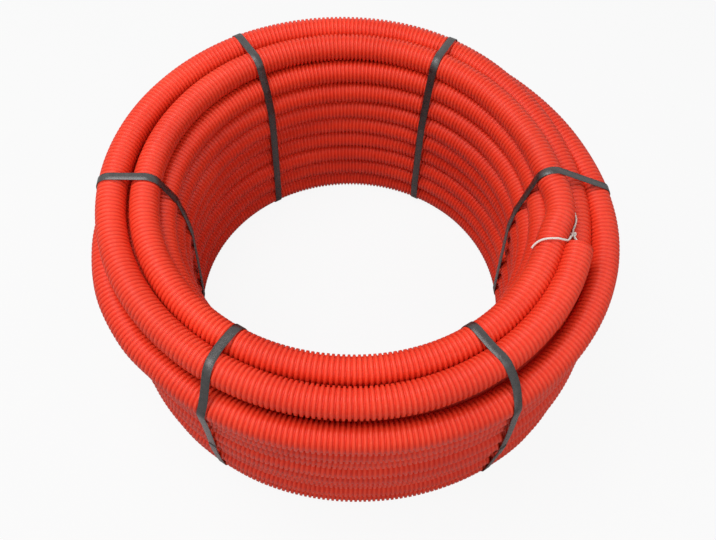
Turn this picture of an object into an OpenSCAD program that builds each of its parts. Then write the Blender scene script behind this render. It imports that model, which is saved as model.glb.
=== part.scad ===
// Coil of corrugated cable duct: about 50 m of ribbed duct wound in layers and held by six
// flat straps, with its pull cord hanging out of the free end. It lies flat on the floor.
// Millimetres. +Z is up along the coil's axis, and the origin is on the floor below it.
// The ribs are fine relief: the duct is drawn here at its outside diameter over the ribs.
// The turns inside the wall are hidden, so they are one plain core.

/* [Duct] */
// Outside diameter of the duct over its ribs
duct_od = 40; // [32:0.5:63]
// Thickness of the duct's wall, from the smooth bore to the top of a rib
duct_wall = 4; // [2.5:0.5:6]
// Length of the straight stretch at the free end
end_straight = 30; // [10:1:36]
// How far the bore goes on behind the straight stretch, in degrees round the coil
bore_turn = 14; // [4:1:30]

/* [Coil] */
// Radius to the middle of the duct in the inner column of turns
inner_r = 266; // [200:2:400]
// Number of rows, one on another
rows = 9; // [6:1:12]
// How far the ribs of one row mesh into those of the next
rib_mesh = 2.25; // [1:0.25:3]
// How far the top inner turn sits outside the inner column
top_turn_out = 10; // [8:1:18]
// Gap between neighbouring turns on the top
top_gap = 1; // [0.5:0.5:3]
// Sideways shift of the outer column, whose wall is thicker on the free end's side
outer_shift = 8; // [4:1:10]
// Direction of the free end from the coil's axis, in degrees from +X
end_az = -17; // [-22:1:-12]

/* [Straps] */
// Width of a strap
strap_w = 12; // [9:1:16]
// Thickness of a strap
strap_t = 0.8; // [0.6:0.1:1.2]
// Length of the welded lap of a strap
lap_l = 50; // [30:5:70]
// Directions of the straps from the coil's axis, in degrees from +X
right_az = 5; // [4:1:12]
back_right_az = 63; // [62:1:72]
back_left_az = 124; // [114:1:134]
left_az = 182; // [170:1:184]
front_left_az = 240; // [234:1:250]
front_right_az = 304; // [292:1:316]

/* [Pull cord] */
// Diameter of the pull cord
cord_d = 3; // [2:0.5:4]

/* [Hidden] */
$fn = 64;

duct_r = duct_od / 2;
bore_r = duct_r - duct_wall;

// Where two stretches of a turn meet, the one is this much slimmer and starts inside the other
joint_in = 0.1;
joint_lap = 1;

// Small clearances: strap to duct, and one turn over another
strap_gap = 0.3;
turn_clear = 0.5;

// Heights of the rows: the straps run under the coil
base_z = strap_t + strap_gap;
row_rise = duct_od - rib_mesh;
function row_z(k) = base_z + duct_r + k * row_rise;
top_z = row_z(rows - 2) + duct_od + turn_clear;

// Hand-wound turns stand a little in and out of their column
inner_wander = [4, 1, 0, 2, -2, -7, -4, 2];
outer_wander = [-3, 0, 2, 2, 1, -1, -3, 2];
function wander(list, k) = list[k % len(list)];

// Radii on the top: inner turn, and the turn that ends in the free end
step = duct_od + top_gap;
b_r = inner_r + top_turn_out;
m_r = b_r + step;

// The top turn runs from the free end round the front and the left to the back, and lies in
// the valley between the inner top turn and the outer column
left_out = 8;
a_r = m_r + left_out / 2;
a_x = -left_out / 2;
outer_over = 14;
outer_r = m_r + step - outer_over;

// Where the top turn goes down a row: direction in the free end's own frame, how far the arc's
// centre lies off the turn's, and the length of the arc
drop_h = duct_od + 2;
a_down = [77, 14, 70];

// Core behind the turns: how far it stands out from the middle of a turn
core_out = 8;
mid_r = inner_r + 38;
mid_top_r = b_r + 38;
// Foot under the top turn, on its inner side, that joins it to the rows below
foot_w = 7;
foot_in = 1;
foot_h = duct_od + 4;

// Angle that the straight stretch takes off the top turn's arc
end_turn = asin(end_straight / a_r);
bore_lap = joint_lap / a_r * 180 / PI;

// Colours
duct_colour = [0.86, 0.22, 0.14];
strap_colour = [0.10, 0.09, 0.09];
cord_colour = [0.93, 0.91, 0.86];

// Inner part of the coil: inner column, middle turns at the top and bottom, and core
module inner_section() {
    for (k = [0 : rows - 2])
        translate([inner_r + wander(inner_wander, k), row_z(k)]) circle(r = duct_r);
    translate([b_r, row_z(rows - 1)]) circle(r = duct_r);
    translate([mid_r, row_z(0.5)]) circle(r = duct_r);
    translate([mid_top_r, row_z(rows - 2)]) circle(r = duct_r);
    polygon(concat(
        [for (k = [0 : rows - 2])
            [inner_r + wander(inner_wander, k) - core_out, row_z(k)]],
        [[b_r - core_out, row_z(rows - 1)],
         [b_r + core_out, row_z(rows - 1)],
         [b_r + core_out + 4, row_z(rows - 2) + 3],
         [mid_top_r, row_z(rows - 2) + 3],
         [mid_top_r, row_z(0) + 8],
         [mid_r, row_z(0) + 5],
         [inner_r, row_z(0) + 5]]));
}

// Outer part of the coil, turned about its own shifted axis
module outer_section() {
    for (k = [0 : rows - 2])
        translate([outer_r + wander(outer_wander, k), row_z(k)]) circle(r = duct_r);
    polygon(concat(
        [for (k = [0 : rows - 2])
            [outer_r + wander(outer_wander, k) + core_out, row_z(k)]],
        [[outer_r, row_z(rows - 2) + 1],
         [mid_r - 10, row_z(rows - 2) + 1],
         [mid_r - 10, row_z(0) + 4],
         [outer_r, row_z(0) + 4]]));
}

// Section of the top turn with its foot
module top_section() {
    circle(r = duct_r);
    translate([-foot_in - foot_w, -foot_h]) square([foot_w, foot_h]);
}

// End of the top turn, which goes down a row and inwards. It runs on clockwise, and leaves
// through the flat end of the level stretch, so it is as much slimmer as it slopes
module top_down() {
    down_r = a_r - a_down[1];
    tilt = asin(drop_h / (down_r * sin(a_down[2])));
    lap = joint_lap / down_r * 180 / PI;
    translate([a_x, 0, top_z]) rotate([0, 0, a_down[0]]) translate([a_down[1], 0, 0])
        rotate([tilt, 0, 0]) rotate([0, 0, -a_down[2]])
            rotate_extrude(angle = a_down[2] + lap) translate([down_r, 0])
                circle(r = duct_r * cos(tilt) - joint_in);
}

// Top turn with the free end, in the free end's own frame
module top_turn() {
    translate([a_x, 0, top_z]) rotate([0, 0, -end_turn]) translate([a_r, 0, 0])
        rotate([-90, 0, 0]) translate([0, 0, -joint_lap])
            cylinder(r = duct_r - joint_in, h = end_straight + joint_lap);
    translate([a_x, 0, top_z]) rotate([0, 0, a_down[0]])
        rotate_extrude(angle = 360 - end_turn - a_down[0]) translate([a_r, 0]) top_section();
    top_down();
}

// Open bore of the free end
module end_bore() {
    over = 1;
    translate([a_x, 0, top_z]) rotate([0, 0, -end_turn]) {
        translate([a_r, 0, 0]) rotate([-90, 0, 0]) cylinder(r = bore_r, h = end_straight + over);
        rotate([0, 0, -bore_turn])
            rotate_extrude(angle = bore_turn + bore_lap) translate([a_r, 0])
                circle(r = bore_r - joint_in);
    }
}

module duct_coil() {
    color(duct_colour) difference() {
        union() {
            rotate_extrude() inner_section();
            translate([outer_shift, 0, 0]) rotate_extrude() outer_section();
            rotate([0, 0, end_az]) top_turn();
        }
        rotate([0, 0, end_az]) end_bore();
    }
}

// Distance from the coil's axis, in direction az, to a circle about a point x on the X axis
function reach(az, x, r) = x * cos(az) + sqrt(r * r - pow(x * sin(az), 2));

// Distance of the level stretch of the top turn in direction az, where there is one
function top_reach(az) =
    let (l = (az - end_az + 720) % 360) l > a_down[0] ? [reach(l, a_x, a_r)] : [];

// Middles of the turns that a strap in direction az goes round, as radius and height
function strapped(az) =
    let (side = atan(strap_w / 2 / outer_r))
    concat([for (k = [0 : rows - 2]) [inner_r + wander(inner_wander, k), row_z(k)]],
           [[b_r, row_z(rows - 1)]],
           [for (k = [0 : rows - 2])
               [reach(az, outer_shift, outer_r + wander(outer_wander, k)), row_z(k)]],
           [for (a = [az - side, az, az + side]) for (r = top_reach(a)) [r, top_z]]);

// Taut outline round the turns, standing off by a distance
module taut(az, off) {
    hull() for (p = strapped(az)) translate(p) circle(r = duct_r + off);
}

// Closed band between two distances off the turns
module band(az, off, t) {
    difference() {
        taut(az, off + t);
        taut(az, off);
    }
}

// One strap in direction az: a closed band with a welded lap on the outer side
module strap(az) {
    lap_z = row_z(2);
    color(strap_colour) rotate([0, 0, az]) rotate([90, 0, 0])
        linear_extrude(height = strap_w, center = true) {
            band(az, strap_gap, strap_t);
            intersection() {
                band(az, strap_gap, 2 * strap_t);
                translate([outer_r, lap_z]) square([2 * duct_od, lap_l]);
            }
        }
}

// Route of the pull cord: out of the bore, over its rim and along the groove beyond it
cord_route = [[292.5, -123, 312.5], [296, -113.5, 312], [300, -104.5, 312], [303, -97, 312],
              [305.5, -90.5, 311.5], [306.5, -85, 310.5], [305.5, -78.5, 309.5],
              [303.5, -72.5, 309], [301, -66.5, 309], [299, -60.5, 309], [300, -54, 308],
              [302.5, -48, 307.5], [305.5, -41, 307], [307.5, -33, 307], [307, -24.5, 307],
              [305.5, -16.5, 307], [304, -8.5, 307.5], [302, -1, 307.5], [300, 6.5, 307.5],
              [297.5, 13.5, 307], [295.5, 20.5, 306]];
// Route of the knot's short tail, up beside the mouth and over the top inner turn
tail_route = [[298.5, -61, 309], [296.5, -64.5, 313], [293.5, -69, 317.5], [290.5, -73.5, 322],
              [288.5, -78, 326], [285.5, -83, 330], [282, -87.5, 334], [277.5, -90.5, 338.5],
              [272, -92, 342], [265.5, -92.5, 344.5], [259, -93, 345], [252.5, -93, 344],
              [246.5, -93, 341.5], [241.5, -93.5, 337], [237.5, -95, 332], [235, -97, 327]];
knot_at = [299, -60.5, 309];
knot_r = 5;

function unit(v) = v / norm(v);
function along(p, i) = unit(p[min(i + 1, len(p) - 1)] - p[max(i - 1, 0)]);
function ring(c, t, r, n) =
    let (s = unit(cross(t, [0, 0, 1])), u = cross(s, t))
    [for (j = [0 : n - 1]) c + r * (cos(360 * j / n) * s + sin(360 * j / n) * u)];

// Tube along a list of points
module tube(p, d) {
    n = 8;
    last = (len(p) - 1) * n;
    points = [for (i = [0 : len(p) - 1]) each ring(p[i], along(p, i), d / 2, n)];
    sides = [for (i = [0 : len(p) - 2]) for (j = [0 : n - 1])
        let (k = (j + 1) % n)
        each [[i * n + j, i * n + k, (i + 1) * n + k],
              [i * n + j, (i + 1) * n + k, (i + 1) * n + j]]];
    polyhedron(points, concat([[for (j = [n - 1 : -1 : 0]) j]], sides,
                              [[for (j = [0 : n - 1]) last + j]]), convexity = 6);
}

// The cord is one piece with its knot and the short tail behind the knot
module pull_cord() {
    color(cord_colour) union() {
        tube(cord_route, cord_d);
        translate(knot_at) sphere(r = knot_r);
        tube(tail_route, cord_d);
    }
}

duct_coil();
strap(right_az);  // strap_right
strap(back_right_az);  // strap_back_right
strap(back_left_az);  // strap_back_left
strap(left_az);  // strap_left
strap(front_left_az);  // strap_front_left
strap(front_right_az);  // strap_front_right
pull_cord();
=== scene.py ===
import bpy
import math
import numpy as np
from mathutils import Matrix, Vector


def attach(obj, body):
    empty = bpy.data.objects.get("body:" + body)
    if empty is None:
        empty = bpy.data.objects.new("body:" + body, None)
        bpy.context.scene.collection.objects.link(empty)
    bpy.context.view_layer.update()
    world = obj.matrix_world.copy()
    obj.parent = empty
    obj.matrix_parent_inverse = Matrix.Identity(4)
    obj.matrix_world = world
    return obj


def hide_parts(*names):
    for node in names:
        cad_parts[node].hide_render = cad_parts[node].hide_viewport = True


# A coil of corrugated cable duct. The turns are built here rib by rib where the CAD model's
# turns lie, wound a little unevenly. Shapes are worked out in millimetres and stored in metres.

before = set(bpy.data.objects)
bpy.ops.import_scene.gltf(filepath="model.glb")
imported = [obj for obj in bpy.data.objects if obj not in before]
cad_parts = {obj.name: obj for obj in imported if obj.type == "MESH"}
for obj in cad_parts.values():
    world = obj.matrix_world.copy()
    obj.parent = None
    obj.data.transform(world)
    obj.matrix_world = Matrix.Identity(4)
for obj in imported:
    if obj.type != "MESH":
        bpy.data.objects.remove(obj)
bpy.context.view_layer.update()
MM = 0.001


# ---------------------------------------------------------------- helpers
def smooth(u):
    u = np.clip(u, 0.0, 1.0)
    return u * u * (3 - 2 * u)


def spline(points, x):
    """Smooth curve through (x, value) pairs that never overshoots between them."""
    px = np.array([p[0] for p in points], float)
    py = np.array([p[1] for p in points], float)
    d = np.diff(py) / np.diff(px)
    product = d[:-1] * d[1:]
    inner = np.where(product > 0, 2 * d[:-1] * d[1:] / (d[:-1] + d[1:] + 1e-12), 0)
    m = np.concatenate([[d[0]], inner, [d[-1]]])
    x = np.asarray(x, float)
    i = np.clip(np.searchsorted(px, x) - 1, 0, len(px) - 2)
    h = px[i + 1] - px[i]
    t = (x - px[i]) / h
    t2, t3 = t * t, t * t * t
    return ((2 * t3 - 3 * t2 + 1) * py[i] + (t3 - 2 * t2 + t) * h * m[i]
            + (-2 * t3 + 3 * t2) * py[i + 1] + (t3 - t2) * h * m[i + 1])


def around(points, az):
    """Smooth curve through (azimuth, value) pairs that closes after a full turn."""
    pts = sorted(points)
    pts = [(a - 360, v) for a, v in pts[-3:]] + pts + [(a + 360, v) for a, v in pts[:3]]
    a = (np.asarray(az, float) - pts[3][0]) % 360 + pts[3][0]
    return spline(pts, a)


def link(o):
    bpy.context.scene.collection.objects.link(o)
    return o


def mesh_object(name, verts, faces, mat, attrs=None):
    """Smooth-shaded mesh. verts in millimetres, faces an array of quads or lists of any length."""
    me = bpy.data.meshes.new(name)
    verts = np.asarray(verts, np.float32) * MM
    if isinstance(faces, np.ndarray):
        counts = np.full(len(faces), faces.shape[1], np.int32)
        loops = faces.astype(np.int32).ravel()
    else:
        counts = np.array([len(f) for f in faces], np.int32)
        loops = np.array([i for f in faces for i in f], np.int32)
    me.vertices.add(len(verts))
    me.vertices.foreach_set("co", verts.ravel())
    me.loops.add(len(loops))
    me.loops.foreach_set("vertex_index", loops)
    me.polygons.add(len(counts))
    me.polygons.foreach_set("loop_start", np.concatenate([[0], np.cumsum(counts)[:-1]]).astype(np.int32))
    me.polygons.foreach_set("use_smooth", np.full(len(counts), True))
    for key, values in (attrs or {}).items():
        a = me.attributes.new(key, "FLOAT", "POINT")
        a.data.foreach_set("value", np.asarray(values, np.float32).ravel())
    me.update(calc_edges=True)
    me.validate()
    me.materials.append(mat)
    return link(bpy.data.objects.new(name, me))


# ---------------------------------------------------------------- camera
CAM = Vector((0.0, -0.6327, 1.1141))
PITCH_DOWN, YAW, ROLL = math.radians(57.9), math.radians(1.02), math.radians(2.61)
LENS = 36.71


def add_camera():
    level = math.cos(PITCH_DOWN)
    ahead = Vector((math.sin(YAW) * level, math.cos(YAW) * level, -math.sin(PITCH_DOWN)))
    right = Vector((math.cos(YAW), -math.sin(YAW), 0))
    up = right.cross(ahead)
    rolled_right = math.cos(ROLL) * right + math.sin(ROLL) * up
    rolled_up = -math.sin(ROLL) * right + math.cos(ROLL) * up
    data = bpy.data.cameras.new("camera")
    data.sensor_width = 36
    data.lens = LENS
    cam = link(bpy.data.objects.new("camera", data))
    m = Matrix((rolled_right, rolled_up, -ahead)).transposed().to_4x4()
    m.translation = CAM
    cam.matrix_world = m
    bpy.context.scene.camera = cam


add_camera()


# ---------------------------------------------------------------- materials
def new_material(name):
    m = bpy.data.materials.new(name)
    m.use_nodes = True
    nt = m.node_tree
    return m, nt, nt.nodes["Principled BSDF"]


def node(nt, kind, **inputs):
    n = nt.nodes.new(kind)
    for key, value in inputs.items():
        if key in n.inputs.keys():
            n.inputs[key].default_value = value
        else:
            setattr(n, key, value)
    return n


def ramp(nt, fac, stops):
    r = nt.nodes.new("ShaderNodeValToRGB")
    e = r.color_ramp.elements
    while len(e) < len(stops):
        e.new(0.5)
    for el, (pos, col) in zip(e, stops):
        el.position = pos
        el.color = (*col, 1) if len(col) == 3 else col
    nt.links.new(fac, r.inputs["Fac"])
    return r.outputs["Color"]


def mix_rgb(nt, fac, a, b, kind="MIX"):
    n = nt.nodes.new("ShaderNodeMix")
    n.data_type = "RGBA"
    n.blend_type = kind
    for sock, v in ((n.inputs[0], fac), (n.inputs[6], a), (n.inputs[7], b)):
        if hasattr(v, "is_linked"):
            nt.links.new(v, sock)
        else:
            sock.default_value = v if not isinstance(v, tuple) or len(v) == 4 else (*v, 1)
    return n.outputs[2]


def math_node(nt, op, a, b=0.0, c=0.0):
    n = nt.nodes.new("ShaderNodeMath")
    n.operation = op
    for sock, v in zip(n.inputs, (a, b, c)):
        if hasattr(v, "is_linked"):
            nt.links.new(v, sock)
        else:
            sock.default_value = v
    return n.outputs[0]


def noise(nt, vec, scale, detail=3.0, rough=0.55):
    n = node(nt, "ShaderNodeTexNoise", Scale=scale, Detail=detail, Roughness=rough)
    nt.links.new(vec, n.inputs["Vector"])
    return n.outputs["Fac"]


def duct_material():
    m, nt, bsdf = new_material("duct")
    L = nt.links.new
    pos = nt.nodes.new("ShaderNodeNewGeometry").outputs["Position"]
    crest = node(nt, "ShaderNodeAttribute", attribute_name="crest").outputs["Fac"]
    tone = node(nt, "ShaderNodeAttribute", attribute_name="tone").outputs["Fac"]
    big = noise(nt, pos, 9.0, 4.0)
    mid = noise(nt, pos, 70.0, 4.0)
    fine = noise(nt, pos, 900.0, 2.0)
    # plastic: slightly uneven orange-red, with painted shade in the grooves, dusty on the crests
    base = ramp(nt, big, [(0.25, (0.77, 0.038, 0.013)),
                          (0.55, (0.84, 0.050, 0.018)),
                          (0.8, (0.90, 0.068, 0.025))])
    base = mix_rgb(nt, math_node(nt, "MULTIPLY", mid, 0.16), base, (0.92, 0.10, 0.05))
    # painted shade: the grooves, where crest is 0, get the plastic colour multiplied by this darker tint
    groove_shade = mix_rgb(nt, 1.0, base, (0.86, 0.62, 0.55), "MULTIPLY")
    on_crest = math_node(nt, "SMOOTH_MIN", math_node(nt, "MULTIPLY", crest, 1.3), 1.0, 0.2)
    base = mix_rgb(nt, on_crest, groove_shade, base)
    base = mix_rgb(nt, 1.0, base, tone_colour(nt, tone), "MULTIPLY")
    dust = math_node(nt, "MULTIPLY", ramp_value(nt, noise(nt, pos, 210.0, 5.0, 0.7), 0.56, 0.72), crest)
    base = mix_rgb(nt, math_node(nt, "MULTIPLY", dust, 0.22), base, (0.90, 0.26, 0.16))
    L(base, bsdf.inputs["Base Color"])
    rough = math_node(nt, "MULTIPLY_ADD", mid, 0.20, 0.30)
    rough = math_node(nt, "ADD", rough, math_node(nt, "MULTIPLY", dust, 0.2))
    L(rough, bsdf.inputs["Roughness"])
    bsdf.inputs["Specular IOR Level"].default_value = 0.28
    bsdf.inputs["IOR"].default_value = 1.5
    bump = node(nt, "ShaderNodeBump", Strength=0.22, Distance=0.0006)
    h = math_node(nt, "MULTIPLY_ADD", mid, 0.8, math_node(nt, "MULTIPLY", fine, 0.25))
    L(h, bump.inputs["Height"])
    L(bump.outputs["Normal"], bsdf.inputs["Normal"])
    return m


def ramp_value(nt, fac, lo, hi):
    n = node(nt, "ShaderNodeMapRange")
    n.clamp = True
    nt.links.new(fac, n.inputs["Value"])
    n.inputs["From Min"].default_value = lo
    n.inputs["From Max"].default_value = hi
    return n.outputs["Result"]


def tone_colour(nt, tone):
    return ramp(nt, tone, [(0.0, (0.86, 0.84, 0.84)), (0.5, (1.0, 1.0, 1.0)), (1.0, (1.06, 1.12, 1.12))])


def strap_material():
    m, nt, bsdf = new_material("strap")
    L = nt.links.new
    uv = nt.nodes.new("ShaderNodeUVMap").outputs["UV"]
    pos = nt.nodes.new("ShaderNodeNewGeometry").outputs["Position"]
    grime = noise(nt, pos, 160.0, 4.0)
    col = ramp(nt, grime, [(0.3, (0.016, 0.014, 0.014)),
                           (0.62, (0.030, 0.026, 0.025)),
                           (0.85, (0.085, 0.070, 0.062))])
    L(col, bsdf.inputs["Base Color"])
    L(math_node(nt, "MULTIPLY_ADD", grime, 0.25, 0.16), bsdf.inputs["Roughness"])
    bsdf.inputs["Specular IOR Level"].default_value = 0.7
    # embossed diamond pattern of polypropylene strapping, 2 mm across
    sep = nt.nodes.new("ShaderNodeSeparateXYZ")
    L(uv, sep.inputs[0])
    a = math_node(nt, "ADD", sep.outputs[0], sep.outputs[1])
    b = math_node(nt, "SUBTRACT", sep.outputs[0], sep.outputs[1])
    waves = []
    for v in (a, b):
        sine = math_node(nt, "SINE", math_node(nt, "MULTIPLY", v, math.pi / 2.0))
        waves.append(math_node(nt, "ABSOLUTE", sine))
    emboss = math_node(nt, "MINIMUM", waves[0], waves[1])
    bump = node(nt, "ShaderNodeBump", Strength=0.5, Distance=0.0002)
    L(emboss, bump.inputs["Height"])
    L(bump.outputs["Normal"], bsdf.inputs["Normal"])
    return m


def cord_material():
    m, nt, bsdf = new_material("cord")
    L = nt.links.new
    pos = nt.nodes.new("ShaderNodeNewGeometry").outputs["Position"]
    n = noise(nt, pos, 1500.0, 3.0)
    strand = node(nt, "ShaderNodeAttribute", attribute_name="strand").outputs["Fac"]
    col = ramp(nt, n, [(0.3, (0.70, 0.67, 0.60)), (0.7, (0.90, 0.88, 0.83))])
    # painted shade: the creases between the strands are mixed towards dark brown
    col = mix_rgb(nt, ramp_value(nt, strand, 0.55, 0.0), col, (0.40, 0.34, 0.28))
    L(col, bsdf.inputs["Base Color"])
    bsdf.inputs["Roughness"].default_value = 0.75
    bsdf.inputs["Sheen Weight"].default_value = 0.25
    bump = node(nt, "ShaderNodeBump", Strength=0.6, Distance=0.0003)
    L(n, bump.inputs["Height"])
    L(bump.outputs["Normal"], bsdf.inputs["Normal"])
    return m


DUCT, STRAP, CORD = duct_material(), strap_material(), cord_material()

# ---------------------------------------------------------------- the pull cord
CORD_D = 3.0
LAY_LENGTH = 8.0
CORD_ROUTE = [(292.5, -123, 312.5), (296, -113.5, 312), (300, -104.5, 312), (303, -97, 312),
              (305.5, -90.5, 311.5), (306.5, -85, 310.5), (305.5, -78.5, 309.5),
              (303.5, -72.5, 309), (301, -66.5, 309), (299, -60.5, 309), (300, -54, 308),
              (302.5, -48, 307.5), (305.5, -41, 307), (307.5, -33, 307), (307, -24.5, 307),
              (305.5, -16.5, 307), (304, -8.5, 307.5), (302, -1, 307.5), (300, 6.5, 307.5),
              (297.5, 13.5, 307), (295.5, 20.5, 306)]
TAIL_ROUTE = [(298.5, -61, 309), (296.5, -64.5, 313), (293.5, -69, 317.5), (290.5, -73.5, 322),
              (288.5, -78, 326), (285.5, -83, 330), (282, -87.5, 334), (277.5, -90.5, 338.5),
              (272, -92, 342), (265.5, -92.5, 344.5), (259, -93, 345), (252.5, -93, 344),
              (246.5, -93, 341.5), (241.5, -93.5, 337), (237.5, -95, 332), (235, -97, 327)]
KNOT_AT = (299, -60.5, 309)


def resample(points, step):
    """Points a fixed step apart along a smooth curve through the given ones."""
    p = np.asarray(points, float)
    s = np.concatenate([[0], np.cumsum(np.linalg.norm(np.diff(p, axis=0), axis=1))])
    fine = np.linspace(0, s[-1], int(s[-1] / step) + 1)
    return np.stack([spline(list(zip(s, p[:, k])), fine) for k in range(3)], 1)


def frames(p, closed=False, up=(0, 0, 1)):
    t = (np.roll(p, -1, 0) - np.roll(p, 1, 0)) if closed else np.gradient(p, axis=0)
    t = t / np.linalg.norm(t, axis=1)[:, None]
    side = np.cross(t, np.broadcast_to(np.array(up, float), t.shape))
    side /= np.linalg.norm(side, axis=1)[:, None]
    return t, side, np.cross(side, t)


def grid_faces(rings, n, closed=False):
    i = np.arange(rings if closed else rings - 1)[:, None]
    j = np.arange(n)[None, :]
    a = (i % rings) * n + j
    b = (i % rings) * n + (j + 1) % n
    c = ((i + 1) % rings) * n + (j + 1) % n
    d = ((i + 1) % rings) * n + j
    return np.stack([a, d, c, b], -1).reshape(-1, 4)


def twisted_cord(name, points, up=(0, 0, 1), closed=False, step=0.55, n=18):
    """Three strands twisted together, as one closed tube with a lobed section."""
    p = np.asarray(points, float) if closed else resample(points, step)
    t, s, u = frames(p, closed, up)
    run = np.concatenate([[0], np.cumsum(np.linalg.norm(np.diff(p, axis=0), axis=1))])
    turns = run[-1] / LAY_LENGTH
    if closed:
        turns = round(turns)
    ang = np.linspace(0, 2 * np.pi, n, endpoint=False)[None, :]
    phase = (2 * np.pi * turns * run / run[-1])[:, None]
    lobe = np.abs(np.cos(1.5 * (ang - phase)))
    rad = CORD_D / 2 * (0.74 + 0.26 * lobe)
    v = (p[:, None, :] + (rad * np.cos(ang))[..., None] * s[:, None, :]
         + (rad * np.sin(ang))[..., None] * u[:, None, :]).reshape(-1, 3)
    f = grid_faces(len(p), n, closed)
    if not closed:
        last = (len(p) - 1) * n
        f = [list(q) for q in f] + [list(range(n)), [last + j for j in range(n)][::-1]]
    return mesh_object(name, v, f, CORD, {"strand": lobe.ravel()}), p


cord, cord_line = twisted_cord("pull_cord_run", CORD_ROUTE)
tail, tail_line = twisted_cord("pull_cord_tail", TAIL_ROUTE)


def knot_points():
    """A trefoil knot round KNOT_AT."""
    t = np.linspace(0, 2 * np.pi, 120, endpoint=False)
    k = np.stack([np.sin(t) + 2 * np.sin(2 * t), -1.25 * np.sin(3 * t), np.cos(t) - 2 * np.cos(2 * t)], 1)
    return k * 1.12 + np.array(KNOT_AT)


knot, _ = twisted_cord("pull_cord_knot", knot_points(), up=(0, 1, 0), closed=True)
for o in (cord, tail, knot):
    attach(o, "root")
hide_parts("pull_cord")


# ---------------------------------------------------------------- the duct's turns
R_OUT, R_GROOVE, R_BORE = 20.0, 17.6, 16.0
RIB = 6.5
Z0, PITCH = 21.1, 37.45


def row_z(k):
    return Z0 + PITCH * k


Z_TOP = row_z(8)
INNER_R = 267.5
# how far each row stands out from its column
INNER_BASE = [4, 1, 0, 2, -2, -6, -4, 2]
OUTER_WANDER = [0, 2, -1, 2, 1, -2, 1, 0]
# radius of the outer column towards its top and at its bottom, by direction
OUTER_TOP = [(-180, 331), (-160, 334), (-140, 339), (-120, 342), (-100, 344), (-87, 345), (-71, 346),
             (-55, 348), (-39, 350), (-22, 349), (-8, 347), (5, 346), (20, 342), (40, 341), (60, 340),
             (90, 338), (120, 335), (150, 332)]
OUTER_LOW = [(-180, 329), (-160, 331), (-134, 330), (-118, 328), (-102, 328), (-87, 330), (-71, 336),
             (-55, 345), (-39, 354), (-22, 355), (0, 352), (20, 348), (60, 344), (90, 340), (120, 335),
             (150, 331)]
# radius of the outer column's top row, which was wound on more loosely
TOP_ROW = [(-180, 333), (-165, 343), (-150, 350), (-140, 350), (-130, 347), (-110, 347), (-90, 345.5),
           (-80, 347), (-60, 350), (-40, 352), (-17, 355.5), (-8, 354.6), (5, 350.6), (20, 345), (40, 341),
           (60, 340), (90, 338), (120, 335), (150, 332)]
# radius of the inner turn on the top, by direction
B_R = [(-170, 284), (-135, 281), (-88, 276.5), (-55, 276), (-28, 275.5), (-17, 276), (-13, 278.5),
       (-7, 284), (-2, 283), (5, 277), (14, 273.5), (28, 273), (45, 275), (90, 281.5), (135, 284)]


def inner_r(az, k):
    """Radius of the inner column at row k, which may lie between two rows."""
    base = np.interp(k, range(8), INNER_BASE)
    uneven = 1.6 * np.sin(np.radians(2 * az + 47 * k)), 1.1 * np.sin(np.radians(3 * az + 110 * k))
    return INNER_R + base + uneven[0] + uneven[1]


def outer_r(az, k):
    top, low = around(OUTER_TOP, az), around(OUTER_LOW, az)
    base = np.interp(k, range(8), OUTER_WANDER)
    uneven = 1.4 * np.sin(np.radians(2 * az + 61 * k)) + 0.9 * np.sin(np.radians(3 * az + 40 * k))
    column = low + (top - low) * k / 7 + base + uneven
    return column + (around(TOP_ROW, az) - column) * np.clip(k - 6, 0, 1)


def b_r(az):
    return around(B_R, az)


def polar(az, r, z):
    a = np.radians(az)
    return np.stack([r * np.cos(a), r * np.sin(a), z + 0 * a], 1)


def helix(az0, az1, first, jog_at, jog_w, radius, last=99):
    """Turns of a column from az0 to az1 (degrees, unwrapped).

    The row rises by one in each jog, which is 2 jog_w degrees long, up to the last row."""
    az = np.arange(az0, az1 + 0.25, 0.5)
    k = np.full(len(az), float(first))
    c = jog_at
    while c < az1 + 360:
        if c > az0 - 1:
            k += smooth((az - (c - jog_w)) / (2 * jog_w))
        c += 360
    k = np.minimum(k, last)
    return az, radius(az, k), row_z(k)


# half the length of a jog, and the stretch over which a turn leaves its column, in degrees
JOG = 20.0
LEAVE = 34
# directions of the ends and of one jog, in degrees that count on from turn to turn
INNER_START, INNER_JOG = -70, 270
INNER_END = INNER_START + 8 * 360 - 2 * JOG + 14
MIDDLE_START = 130
OUTER_START, OUTER_JOG, OUTER_END = MIDDLE_START + 360, 450, 3336
# radius of the bottom middle turn, and where the outer column's last turn ends
MIDDLE_R, OUTER_END_R = 304.0, 308


def inner_path():
    """Inner column: from its open lower end up eight rows; the last turn ends inside the wall."""
    az, r, z = helix(INNER_START, INNER_END, 0, INNER_JOG, JOG, inner_r)
    out = smooth((az - (az[-1] - LEAVE)) / LEAVE)
    return az, r + 36 * out, z


def mid_and_outer_path():
    """Bottom middle turn, then the outer column up its rows; the last turn ends inside the wall."""
    az = np.arange(MIDDLE_START, OUTER_START + 0.1, 0.5)
    z = row_z(0.5) + PITCH * (1 - smooth((az - MIDDLE_START) / 22))
    r = np.full(len(az), MIDDLE_R)
    go = smooth((az - (OUTER_START - 28)) / 28)
    r = r + (outer_r(az, np.zeros(len(az))) - r) * go
    z = z + (row_z(0) - z) * go
    az2, r2, z2 = helix(OUTER_START, OUTER_END, 0, OUTER_JOG, JOG, outer_r, last=7)
    r2 = r2 + (OUTER_END_R - r2) * smooth((az2 - (OUTER_END - LEAVE)) / LEAVE)
    return np.concatenate([az, az2[1:]]), np.concatenate([r, r2[1:]]), np.concatenate([z, z2[1:]])


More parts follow.
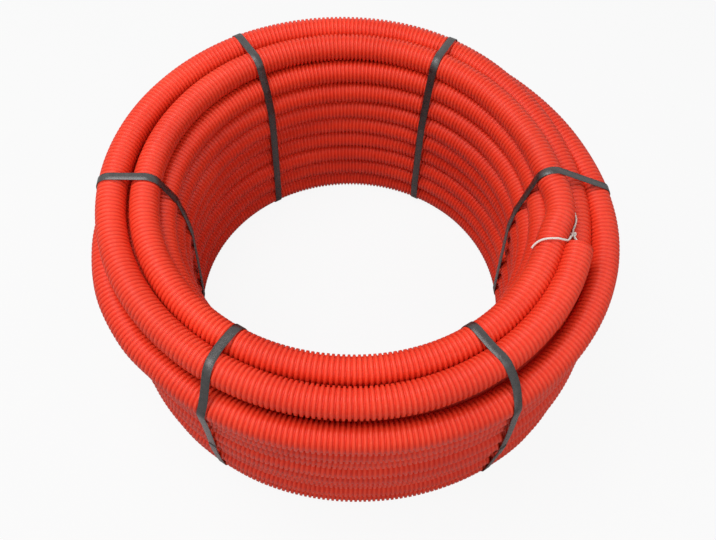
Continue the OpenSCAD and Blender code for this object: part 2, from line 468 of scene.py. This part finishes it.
# stations of the turn with the free end, from the mouth clockwise to where it sinks and on
A_ST = [(-17.6, 311.5, 322.5), (-25, 312.2, 322.5), (-40, 313.4, 323), (-55, 315, 323.5),
        (-70, 317, 324.8), (-88, 318.8, 325.7), (-110, 319.4, 325.7), (-130, 321, 325),
        (-150, 324.5, 323), (-170, 328, 321.5), (-185, 330, 320.7), (-200, 330.5, 320.5),
        (-216, 329.5, 320.5), (-235, 328, 320.5), (-253, 325, 320.5), (-270, 322, 320.5),
        (-287, 319.5, 319.5), (-305, 317, 314), (-324, 312.5, 306), (-340, 311.5, 297.5),
        (-350, 313, 292), (-360, 315, 288), (-368, 315.5, 284.8), (-378, 314, 283.5),
        (-396, 314, 283.3)]


def stations(st, step=0.5):
    """Dense azimuths, radii and heights along a list of stations, counterclockwise."""
    st = sorted(st)
    az = np.arange(st[0][0], st[-1][0] + step / 2, step)
    return az, spline([(s[0], s[1]) for s in st], az), spline([(s[0], s[2]) for s in st], az)


# one rib's outline, as shares of its pitch: start and end of the crest, start and end of the groove
RIB_STOPS = (0.0, 0.46, 0.56, 0.90)
# an open end's bore, from the rim inwards: depth and radius
BORE_STOPS = ((0.0, R_BORE + 0.6), (1.2, R_BORE), (14, R_BORE), (30, R_BORE - 0.1), (46, R_BORE - 0.1))
# unevenness along a turn: spacing, and how deep the duct is pressed in
DENT_STEP, DENT_SPREAD, DENT_MOST = 60, 0.12, 0.2
TONE_STEP = 160


def duct(name, path, n=16, start="cap", end="cap", seed=1):
    """Corrugated duct along azimuth, radius, height. An 'open' end has a real bore."""
    p = polar(*path)
    s = np.concatenate([[0], np.cumsum(np.linalg.norm(np.diff(p, axis=0), axis=1))])
    ribs = int(s[-1] // RIB)
    pitch = s[-1] / ribs
    at = np.concatenate([[(i + f) * pitch for f in RIB_STOPS] for i in range(ribs)])
    rad = np.tile([R_OUT, R_OUT, R_GROOVE, R_GROOVE], ribs)
    crest = np.tile([1.0, 1.0, 0.0, 0.0], ribs)
    at = np.append(at, s[-1])
    rad = np.append(rad, R_OUT)
    crest = np.append(crest, 1.0)

    def along(x):
        return np.stack([np.interp(x, s, p[:, k]) for k in range(3)], -1)
    c = along(at)
    d = 1.5
    t = along(at + d) - along(at - d)
    t /= np.linalg.norm(t, axis=1)[:, None]
    side = np.cross(t, np.array([0, 0, 1.0]))
    side /= np.linalg.norm(side, axis=1)[:, None]
    up = np.cross(side, t)
    draw = np.random.default_rng(seed)
    marks = np.arange(0, s[-1] + DENT_STEP, DENT_STEP)
    dents = np.interp(at, marks, draw.normal(0, DENT_SPREAD, len(marks)))
    marks = np.arange(0, s[-1] + TONE_STEP, TONE_STEP)
    tone = np.interp(at, marks, draw.uniform(0.3, 0.7, len(marks)))
    rad = rad + np.clip(dents, -DENT_MOST, 0.0)
    rows = [(c[i], side[i], up[i], rad[i], crest[i], tone[i]) for i in range(len(at))]

    def bore(i, way):
        # inside the bore the crest value 0.6 gives part of the painted groove shade and part of the crest
        # dust
        return [(along(at[i] + way * depth), side[i], up[i], r, 0.6, tone[i]) for depth, r in BORE_STOPS]
    if end == "open":
        rows = rows + bore(-1, -1)
    if start == "open":
        rows = bore(0, 1)[::-1] + rows
    middle, side, up, rad, crest, tone = (np.array(column) for column in zip(*rows))
    ang = np.linspace(0, 2 * np.pi, n, endpoint=False)
    across = (rad[:, None] * np.cos(ang))[..., None] * side[:, None, :]
    upward = (rad[:, None] * np.sin(ang))[..., None] * up[:, None, :]
    m = len(rows)
    v = np.concatenate([(middle[:, None, :] + across + upward).reshape(-1, 3), middle[:1], middle[-1:]])
    # the two ends are closed by a fan of triangles round a point in their middle
    j = np.arange(n)
    a, b = m * n, m * n + 1
    first = np.stack([np.full(n, a), j, (j + 1) % n], 1)
    last = np.stack([np.full(n, b), (m - 1) * n + (j + 1) % n, (m - 1) * n + j], 1)
    faces = grid_faces(m, n).tolist() + first.tolist() + last.tolist()
    crest = np.concatenate([np.repeat(crest, n), [0.3, 0.3]])
    tone = np.concatenate([np.repeat(tone, n), [0.5, 0.5]])
    return mesh_object(name, v, faces, DUCT, {"crest": crest, "tone": tone})


def part_of(path, a0, a1):
    """The stretch of a path between two azimuths."""
    az = path[0]
    k = (az >= a0) & (az <= a1)
    return tuple(x[k] for x in path)


inner = inner_path()
outer = mid_and_outer_path()
a_path = stations(A_ST)
pieces = []
# each column is made as two pieces, which meet about half way up
SPLIT_IN = INNER_START + 4 * 360
SPLIT_OUT = MIDDLE_START + 4 * 360 + 90
pieces.append(duct("duct_inner_low", part_of(inner, inner[0][0], SPLIT_IN), start="open", seed=11))
pieces.append(duct("duct_inner_high", part_of(inner, SPLIT_IN, inner[0][-1]), seed=12))
pieces.append(duct("duct_outer_low", part_of(outer, outer[0][0], SPLIT_OUT), seed=21))
pieces.append(duct("duct_outer_high", part_of(outer, SPLIT_OUT, outer[0][-1]), seed=22))
pieces.append(duct("duct_free_end", a_path, n=24, end="open", seed=41))


# direction of the seam where the inner top turn closes on itself
B_SEAM = 243


def b_path():
    """The inner turn on the top. Its seam lies beside the front left strap."""
    az = np.arange(B_SEAM, B_SEAM + 360.1, 0.5)
    return az, b_r(az), np.full(len(az), Z_TOP)


pieces.append(duct("duct_top_inner", b_path(), n=24, seed=51))


def mid_top_path():
    """The turn below the top, seen in the gap beside the inner one."""
    az = np.arange(70, 322, 0.5)
    return az, b_r(az) + 24, np.full(len(az), 286.0)


pieces.append(duct("duct_middle_top", mid_top_path(), n=12, seed=61))


def core():
    """Plain body inside the wall, where the hidden turns lie."""
    az = np.arange(0, 360, 4.0)
    rings = []
    for a in az:
        o = float(outer_r(np.array([a]), np.array([4.0]))[0])
        outline = [(283, 44), (o - 16, 44), (o - 9, 60), (o - 9, 270),
                   (o - 22, 284), (290, 284), (276, 270), (276, 60)]
        ra = math.radians(a)
        rings.append([(r * math.cos(ra), r * math.sin(ra), z) for r, z in outline])
    n = len(rings[0])
    v = np.array(rings).reshape(-1, 3)
    f = grid_faces(len(rings), n, closed=True)
    # painted shade: crest 0 gives the whole core the darker groove colour, and tone 0.1 darkens it below
    # the turns' tones
    return mesh_object("duct_core", v, f, DUCT, {"crest": np.zeros(len(v)), "tone": np.full(len(v), 0.1)})


pieces.append(core())
for o in pieces:
    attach(o, "root")
    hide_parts("duct_coil")

# ---------------------------------------------------------------- the straps
STRAP_W, STRAP_T, GAP = 12.0, 0.8, 0.3
STRAP_EDGE = 0.25
LAP_LOW, LAP_HIGH = row_z(2) - 4, row_z(2) + 46
STRAPS = {"strap_right": 5, "strap_back_right": 63, "strap_back_left": 124, "strap_left": 182,
          "strap_front_left": 240, "strap_front_right": 304}
# how far the two front straps have slipped sideways on the outer wall: height, degrees
SLIPPED = {"strap_front_left": [(20, -2.0), (60, -1.7), (120, -0.8), (185, 0.5), (250, 1.6),
                                (296, 2.0), (345, 1.0)],
           "strap_front_right": [(0, 2.0), (97, 1.9), (170, 1.4), (240, 0.2), (283, -0.6),
                                 (320, 0.8), (345, 0.6)]}


def slip(name, r, z):
    """Degrees that a strap has slipped at radius r and height z."""
    if name not in SLIPPED:
        return 0.0
    z = min(max(z, SLIPPED[name][0][0]), SLIPPED[name][-1][0])
    return float(spline(SLIPPED[name], [z])[0]) * float(smooth((r - 296) / 44))


def crossings(az):
    """Middles of every turn that a half-plane at az cuts, as radius and height."""
    out = []
    for path in (inner, outer, a_path, b_path(), mid_top_path()):
        a = path[0]
        turn = az + 360 * np.arange(math.ceil((a[0] - az) / 360), math.floor((a[-1] - az) / 360) + 1)
        for t in turn:
            out.append((float(np.interp(t, a, path[1])), float(np.interp(t, a, path[2]))))
    return out


def hull2d(pts):
    """Corners of the outline stretched round some points, counterclockwise."""
    pts = sorted(set(map(tuple, np.round(pts, 5).tolist())))

    def turns_left(a, b, c):
        return (b[0] - a[0]) * (c[1] - a[1]) - (b[1] - a[1]) * (c[0] - a[0]) > 0

    def half(points):
        h = []
        for p in points:
            while len(h) > 1 and not turns_left(h[-2], h[-1], p):
                h.pop()
            h.append(p)
        return h[:-1]
    return np.array(half(pts) + half(pts[::-1]))


def taut_loop(name, az):
    """Points along the taut outline that a strap makes round its turns, at most 12 mm apart."""
    # the turns under the band, each cut within a degree of where the band has slipped to
    mids = []
    for off in np.arange(-3.0, 3.1, 0.5):
        mids += [(r, z) for r, z in crossings(az + off) if abs(off - slip(name, r, z)) <= 1.0]
    th = np.radians(np.arange(0, 360, 6))
    reach = R_OUT + GAP
    circle = list(zip(reach * np.cos(th), reach * np.sin(th)))
    corners = hull2d(np.concatenate([[(r + x, z + y) for x, y in circle] for r, z in mids]))
    loop = []
    for p, q in zip(corners, np.roll(corners, -1, 0)):
        m = max(1, int(np.linalg.norm(q - p) / 6))
        loop += [p + (q - p) * i / m for i in range(m)]
    return np.array(loop)


def strap(name, az):
    """A closed band with rounded edges, and its lap as a second layer over the outer side."""
    loop = taut_loop(name, az)
    t = np.roll(loop, -1, 0) - np.roll(loop, 1, 0)
    t /= np.linalg.norm(t, axis=1)[:, None]
    nrm = np.stack([t[:, 1], -t[:, 0]], 1)
    run = np.concatenate([[0], np.cumsum(np.linalg.norm(np.diff(loop, axis=0), axis=1))])

    def place(rz, across):
        a = math.radians(az + slip(name, *rz))
        e = np.array([math.cos(a), math.sin(a), 0])
        w = np.array([-math.sin(a), math.cos(a), 0])
        return rz[0] * e + across * w + np.array([0, 0, rz[1]])
    half = STRAP_W / 2
    flat = half - STRAP_EDGE
    low, high = STRAP_EDGE, STRAP_T - STRAP_EDGE
    sect = [(-flat, 0), (flat, 0), (half, low), (half, high),
            (flat, STRAP_T), (-flat, STRAP_T), (-half, high), (-half, low)]
    k = len(sect)
    verts, uvs = [], []
    for p, nn, ss in zip(loop, nrm, run):
        for x, y in sect:
            verts.append(place(p + nn * y, x))
            uvs.append((x, ss))
    f = grid_faces(len(loop), k, closed=True).tolist()
    # the lap is a little slimmer than the band, which it lies on
    base = len(verts)
    lap = [i for i in range(len(loop)) if nrm[i][0] > 0.75 and LAP_LOW <= loop[i][1] <= LAP_HIGH]
    lap.sort(key=lambda i: loop[i][1])
    for i in lap:
        for x, y in sect:
            verts.append(place(loop[i] + nrm[i] * (y * 0.98 + STRAP_T + 0.02), x * 0.985))
            uvs.append((x, run[i] + 1.0))
    f += (grid_faces(len(lap), k) + base).tolist()
    f.append([base + j for j in range(k)])
    f.append([base + (len(lap) - 1) * k + j for j in range(k)][::-1])
    o = mesh_object(name + "_band", np.array(verts), f, STRAP)
    uv = o.data.uv_layers.new(name="UVMap")
    idx = np.zeros(len(o.data.loops), np.int32)
    o.data.loops.foreach_get("vertex_index", idx)
    uv.data.foreach_set("uv", np.array(uvs, np.float32)[idx].ravel())
    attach(o, "root")
    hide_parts(name)


for name, az in STRAPS.items():
    strap(name, az)


# ---------------------------------------------------------------- floor, light and world
def add_floor():
    """Pale floor that the camera sees nearly white, and that keeps the shadow."""
    m, nt, bsdf = new_material("floor")
    L = nt.links.new
    pos = nt.nodes.new("ShaderNodeNewGeometry").outputs["Position"]
    pale = ramp(nt, noise(nt, pos, 3.0), [(0.3, (0.50, 0.50, 0.50)), (0.7, (0.54, 0.54, 0.54))])
    L(pale, bsdf.inputs["Base Color"])
    bsdf.inputs["Roughness"].default_value = 0.7
    bsdf.inputs["Specular IOR Level"].default_value = 0.1
    out = nt.nodes["Material Output"]
    glow = node(nt, "ShaderNodeEmission", Color=(1, 1, 1, 1), Strength=1.0)
    path = nt.nodes.new("ShaderNodeLightPath")
    mixer = nt.nodes.new("ShaderNodeMixShader")
    L(math_node(nt, "MULTIPLY", path.outputs["Is Camera Ray"], 0.91), mixer.inputs[0])
    L(bsdf.outputs[0], mixer.inputs[1])
    L(glow.outputs[0], mixer.inputs[2])
    L(mixer.outputs[0], out.inputs["Surface"])
    v = [(-6000, -6000, 0), (6000, -6000, 0), (6000, 6000, 0), (-6000, 6000, 0)]
    o = mesh_object("floor", v, [[0, 1, 2, 3]], m)


def add_world():
    """White world: full strength where it is seen or mirrored, weaker as light."""
    w = bpy.data.worlds.new("world")
    w.use_nodes = True
    nt = w.node_tree
    bg = nt.nodes["Background"]
    bg.inputs["Color"].default_value = (1, 1, 1, 1)
    path = nt.nodes.new("ShaderNodeLightPath")
    mirrored = math_node(nt, "MAXIMUM", path.outputs["Is Glossy Ray"], path.outputs["Is Transmission Ray"])
    seen = math_node(nt, "MAXIMUM", path.outputs["Is Camera Ray"], mirrored)
    nt.links.new(math_node(nt, "MULTIPLY_ADD", seen, 0.62, 0.38), bg.inputs["Strength"])
    bpy.context.scene.world = w


def add_area(name, at, look, size, watts):
    d = bpy.data.lights.new(name, "AREA")
    d.shape = "SQUARE"
    d.size = size
    d.energy = watts
    o = link(bpy.data.objects.new(name, d))
    o.location = at
    # a lamp shines along its own -Z
    o.rotation_euler = (Vector(look) - Vector(at)).to_track_quat("-Z", "Y").to_euler()


add_floor()
add_world()
add_area("key", (-0.7, -0.05, 2.0), (0, 0, 0.2), 1.2, 27)
add_area("fill", (0.7, -1.5, 1.7), (0, 0, 0.2), 1.4, 12)
bpy.context.scene.view_settings.view_transform = "Standard"
